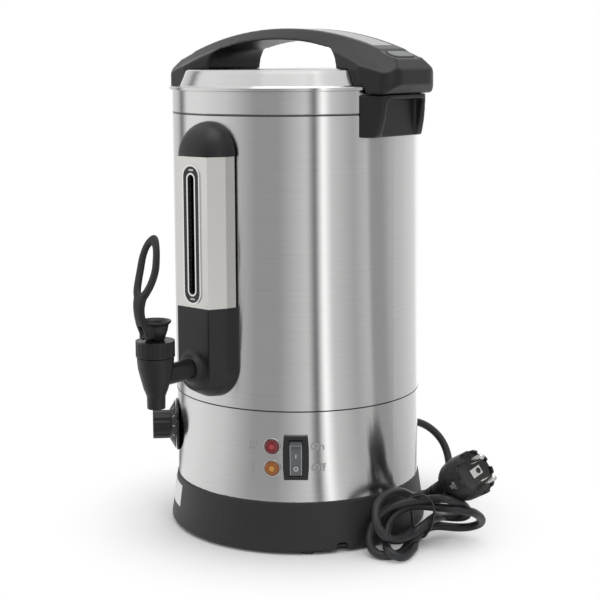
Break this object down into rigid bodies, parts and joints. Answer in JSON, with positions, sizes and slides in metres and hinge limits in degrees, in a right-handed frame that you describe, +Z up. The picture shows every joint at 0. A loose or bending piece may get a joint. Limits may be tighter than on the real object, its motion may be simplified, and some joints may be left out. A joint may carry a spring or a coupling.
{
  "type": "hot water urn",
  "caption": "Upright double-walled steel hot water urn with an arched lid handle, side grips, a lever tap below a sight gauge column, a thermostat knob, a lit switch and a coiled mains cord.",
  "frame": {"origin": "on the body's axis, on the plane that the rubber feet rest on", "axes": "+Z up along the body's axis, the tap faces -Y, the side handles and the lid's arch lie along X with the switch side towards +X"},
  "size_m": [0.3242, 0.3379, 0.4235],
  "materials": {
    "black_plastic": "black moulded plastic with a soft sheen",
    "base_plastic": "matt black moulded plastic, fine texture",
    "shell_steel": "stainless steel brushed round the body",
    "cover_steel": "finely brushed stainless sheet",
    "inner_steel": "plain stainless sheet",
    "fastener_steel": "bright zinc or stainless",
    "bright_trim": "bright plated trim",
    "gloss_black": "smooth black plastic",
    "rocker_plastic": "smoked dark plastic",
    "lens_red": "clear red lamp lens",
    "lens_amber": "clear amber lamp lens",
    "sight_glass": "clear glass tube",
    "silicone": "translucent grey silicone",
    "foot_rubber": "black rubber",
    "inlay_silver": "satin silver strip",
    "latch_grey": "light grey plastic",
    "cord_jacket": "black rubber jacket",
    "plug_rubber": "moulded black rubber",
    "pin_metal": "nickel plated brass",
    "tie_black": "black coated wire tie",
    "copper": "plain copper",
    "brass": "plain brass",
    "element_metal": "dull oxidised tube",
    "ceramic": "cream moulded insulator",
    "thermo_case": "grey moulded case",
    "wire_jacket": "red silicone insulation"
  },
  "bodies": {
    "urn": {"base_ring": "base_plastic", "bottom_plate": "inner_steel", "rubber_feet": "foot_rubber", "base_screws": "fastener_steel", "lower_band": "shell_steel", "outer_shell": "shell_steel", "inner_tank": "shell_steel", "heater_plate": "inner_steel", "heating_element": "element_metal", "heat_shield": "inner_steel", "thermal_cutout": "ceramic", "thermostat_body": "thermo_case", "capillary_bulb": "copper", "thermostat_screws": "fastener_steel", "dial_plate": "gloss_black", "terminal_block": "ceramic", "wire_harness": "wire_jacket", "strain_relief": "gloss_black", "switch_housing": "gloss_black", "lamp_bezels": "bright_trim", "lamp_red": "lens_red", "lamp_amber": "lens_amber", "column_housing": "black_plastic", "column_cap": "black_plastic", "column_cover": "cover_steel", "gauge_ring": "bright_trim", "gauge_insert": "gloss_black", "slot_ring": "bright_trim", "sight_tube": "sight_glass", "sight_seals": "silicone", "gauge_tee": "brass", "outlet_seals": "silicone", "outlet_nut": "fastener_steel", "tap_body": "black_plastic", "tap_collar": "black_plastic", "side_handle_left": "black_plastic", "side_handle_right": "black_plastic", "handle_screws": "fastener_steel", "power_cord": "cord_jacket", "cord_hank": "cord_jacket", "cord_tie": "tie_black", "plug_body": "plug_rubber", "plug_pins": "pin_metal", "earth_clips": "pin_metal"},
    "control_knob": {"control_knob": "black_plastic", "thermostat_shaft": "fastener_steel"},
    "switch_rocker": {"switch_rocker": "rocker_plastic"},
    "tap_stem": {"tap_stem": "fastener_steel", "tap_seat": "silicone", "tap_spring": "fastener_steel", "lever_pin": "fastener_steel"},
    "tap_lever": {"tap_lever": "black_plastic"},
    "lid": {"lid_disc": "shell_steel", "lid_seal": "silicone", "lid_handle": "black_plastic", "handle_inlay": "inlay_silver", "lid_screws": "fastener_steel"},
    "latch_left": {"latch_button_left": "latch_grey"},
    "latch_right": {"latch_button_right": "latch_grey"}
  },
  "joints": [
    {"name": "thermostat_turn", "type": "hinge", "parent": "urn", "child": "control_knob", "pos_m": [-0.07502, -0.08045, 0.0831], "axis": [0.682, 0.7314, 0], "range_deg": [0, 270]},
    {"name": "switch_rock", "type": "hinge", "parent": "urn", "child": "switch_rocker", "pos_m": [0.06595, -0.0786, 0.0795], "axis": [-0.766, -0.6428, 0], "range_deg": [0, 18]},
    {"name": "stem_lift", "type": "slide", "parent": "urn", "child": "tap_stem", "axis": [0, 0, 1], "range_m": [0, 0.004], "deforming": ["tap_spring"]},
    {"name": "lever_tilt", "type": "hinge", "parent": "tap_stem", "child": "tap_lever", "pos_m": [0, -0.1695, 0.187], "axis": [1, 0, 0], "range_deg": [0, 30], "stiffness_Nm_per_rad": 0.0169, "springref_deg": -91.67},
    {"name": "lid_lift", "type": "slide", "parent": "urn", "child": "lid", "axis": [0, 0, 1], "range_m": [0, 0.08]},
    {"name": "latch_press_left", "type": "slide", "parent": "lid", "child": "latch_left", "axis": [0.37, 0, -0.929], "range_m": [0, 0.0025], "stiffness_N_per_m": 200, "springref_m": -0.003},
    {"name": "latch_press_right", "type": "slide", "parent": "lid", "child": "latch_right", "axis": [-0.37, 0, -0.929], "range_m": [0, 0.0025], "stiffness_N_per_m": 200, "springref_m": -0.003}
  ],
  "couplings": [
    {"joint": "stem_lift", "follows": "lever_tilt", "m_per_rad": 0.0075}
  ]
}
